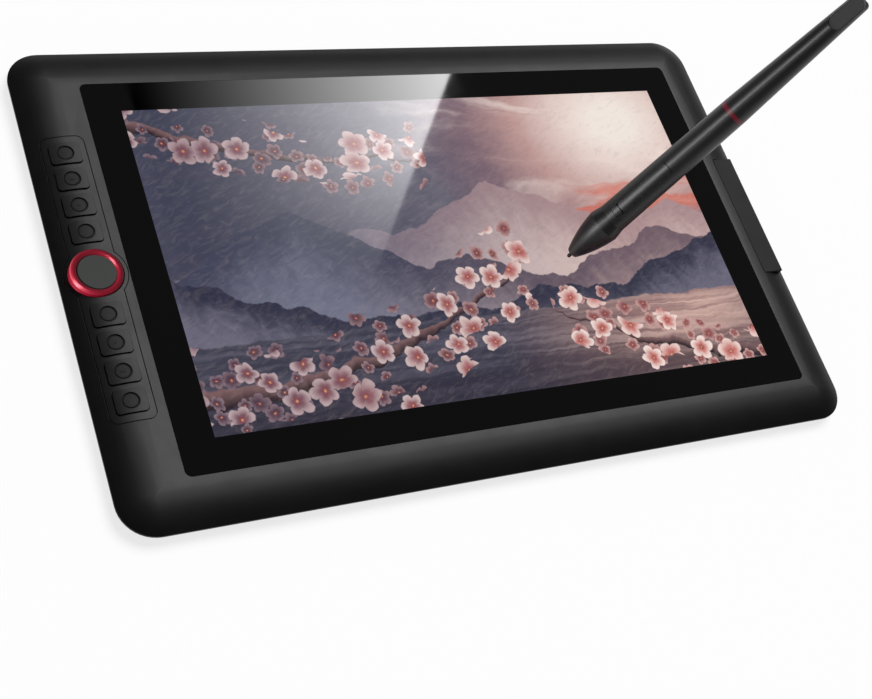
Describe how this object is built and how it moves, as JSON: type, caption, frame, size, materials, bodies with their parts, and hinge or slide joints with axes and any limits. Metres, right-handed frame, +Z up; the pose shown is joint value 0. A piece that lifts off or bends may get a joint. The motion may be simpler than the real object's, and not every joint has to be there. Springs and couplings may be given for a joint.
{
  "type": "graphics tablet with screen",
  "caption": "Flat black pen display with a glass screen, a shortcut key column with a red ring dial, a port hood and a stylus standing on the glass.",
  "frame": {"origin": "on the desk, under the middle of the casing's footprint", "axes": "+X to the right of the screen, +Y to the top of the screen, +Z up out of the screen"},
  "size_m": [0.4424, 0.279, 0.1917],
  "materials": {
    "casing_black": "fine spark-eroded matt texture",
    "back_black": "fine matt texture",
    "key_black": "fine matt texture",
    "edge_button_black": "matt",
    "hood_black": "smooth matt",
    "dial_red": "glossy red",
    "cap_grey": "smooth matt",
    "screen_glass": "etched glass with a printed dark border",
    "clear_adhesive": "clear",
    "lcd_dark": "polarised, dark when off",
    "optical_white": "satin white film",
    "clear_acrylic": "clear acrylic",
    "white_plastic": "plain",
    "circuit_green": "solder mask",
    "flex_amber": "polyimide film",
    "sheet_metal": "pressed sheet",
    "screw_steel": "dark zinc",
    "brass": "plain",
    "chip_black": "moulded",
    "magnet_grey": "sintered",
    "foot_rubber": "soft matt",
    "stylus_black": "satin soft-touch paint",
    "stylus_button_black": "satin",
    "stylus_red": "glossy dark red",
    "stylus_grey": "matt",
    "nib_black": "plain",
    "coil_copper": "enamelled copper wire"
  },
  "bodies": {
    "tablet": {"front_frame": "casing_black", "back_cover": "back_black", "rubber_feet": "foot_rubber", "case_screws": "screw_steel", "inner_screws": "screw_steel", "key_panel": "casing_black", "key_switches": "chip_black", "key_board": "circuit_green", "dial_hub": "cap_grey", "dial_sensors": "chip_black", "cover_glass": "screen_glass", "optical_adhesive": "clear_adhesive", "lcd_panel": "lcd_dark", "diffuser_films": "optical_white", "light_guide": "clear_acrylic", "led_bar": "optical_white", "reflector_sheet": "optical_white", "panel_frame": "white_plastic", "digitizer_board": "circuit_green", "shield_sheet": "sheet_metal", "chassis_plate": "sheet_metal", "display_flex": "flex_amber", "digitizer_flex": "flex_amber", "flat_cables": "white_plastic", "main_board": "circuit_green", "board_standoffs": "brass", "board_chips": "chip_black", "shield_can": "sheet_metal", "port_hood": "hood_black", "port_board": "circuit_green", "usb_socket": "sheet_metal", "button_board": "circuit_green", "button_switches": "chip_black"},
    "key_1": {"key_1": "key_black"},
    "key_2": {"key_2": "key_black"},
    "key_3": {"key_3": "key_black"},
    "key_4": {"key_4": "key_black"},
    "key_5": {"key_5": "key_black"},
    "key_6": {"key_6": "key_black"},
    "key_7": {"key_7": "key_black"},
    "key_8": {"key_8": "key_black"},
    "dial": {"dial_ring": "dial_red", "dial_magnet": "magnet_grey"},
    "power_button": {"power_button": "edge_button_black"},
    "brightness_up_button": {"brightness_up_button": "edge_button_black"},
    "brightness_down_button": {"brightness_down_button": "edge_button_black"},
    "stylus": {"stylus_nose": "stylus_black", "stylus_grip": "stylus_black", "stylus_ring": "stylus_red", "stylus_rear": "stylus_black", "stylus_tail_plate": "stylus_grey", "stylus_coil": "coil_copper", "stylus_carrier": "stylus_black", "stylus_board": "circuit_green", "stylus_switches": "chip_black", "stylus_sensor": "magnet_grey"},
    "stylus_nib": {"stylus_nib": "nib_black"},
    "stylus_front_button": {"stylus_front_button": "stylus_button_black"},
    "stylus_rear_button": {"stylus_rear_button": "stylus_button_black"}
  },
  "joints": [
    {"name": "key_1_press", "type": "slide", "parent": "tablet", "child": "key_1", "axis": [0, 0, -1], "range_m": [0, 0.0006], "stiffness_N_per_m": 400},
    {"name": "key_2_press", "type": "slide", "parent": "tablet", "child": "key_2", "axis": [0, 0, -1], "range_m": [0, 0.0006], "stiffness_N_per_m": 400},
    {"name": "key_3_press", "type": "slide", "parent": "tablet", "child": "key_3", "axis": [0, 0, -1], "range_m": [0, 0.0006], "stiffness_N_per_m": 400},
    {"name": "key_4_press", "type": "slide", "parent": "tablet", "child": "key_4", "axis": [0, 0, -1], "range_m": [0, 0.0006], "stiffness_N_per_m": 400},
    {"name": "key_5_press", "type": "slide", "parent": "tablet", "child": "key_5", "axis": [0, 0, -1], "range_m": [0, 0.0006], "stiffness_N_per_m": 400},
    {"name": "key_6_press", "type": "slide", "parent": "tablet", "child": "key_6", "axis": [0, 0, -1], "range_m": [0, 0.0006], "stiffness_N_per_m": 400},
    {"name": "key_7_press", "type": "slide", "parent": "tablet", "child": "key_7", "axis": [0, 0, -1], "range_m": [0, 0.0006], "stiffness_N_per_m": 400},
    {"name": "key_8_press", "type": "slide", "parent": "tablet", "child": "key_8", "axis": [0, 0, -1], "range_m": [0, 0.0006], "stiffness_N_per_m": 400},
    {"name": "dial_turn", "type": "hinge", "parent": "tablet", "child": "dial", "pos_m": [-0.20275, 0, 0.0127], "axis": [0, 0, 1], "continuous": true},
    {"name": "power_button_press", "type": "slide", "parent": "tablet", "child": "power_button", "axis": [0, -1, 0], "range_m": [0, 0.0004], "stiffness_N_per_m": 400},
    {"name": "brightness_up_button_press", "type": "slide", "parent": "tablet", "child": "brightness_up_button", "axis": [0, -1, 0], "range_m": [0, 0.0004], "stiffness_N_per_m": 400},
    {"name": "brightness_down_button_press", "type": "slide", "parent": "tablet", "child": "brightness_down_button", "axis": [0, -1, 0], "range_m": [0, 0.0004], "stiffness_N_per_m": 400},
    {"name": "stylus_lift", "type": "slide", "parent": "tablet", "child": "stylus", "axis": [0.52, 0.1851, 0.8339], "range_m": [0, 0.08]},
    {"name": "nib_press", "type": "slide", "parent": "stylus", "child": "stylus_nib", "axis": [0.52, 0.1851, 0.8339], "range_m": [0, 0.0008], "stiffness_N_per_m": 400},
    {"name": "stylus_front_button_press", "type": "slide", "parent": "stylus", "child": "stylus_front_button", "axis": [0.7603, 0.3448, -0.5506], "range_m": [0, 0.0004], "stiffness_N_per_m": 400},
    {"name": "stylus_rear_button_press", "type": "slide", "parent": "stylus", "child": "stylus_rear_button", "axis": [0.7603, 0.3448, -0.5506], "range_m": [0, 0.0004], "stiffness_N_per_m": 400}
  ]
}
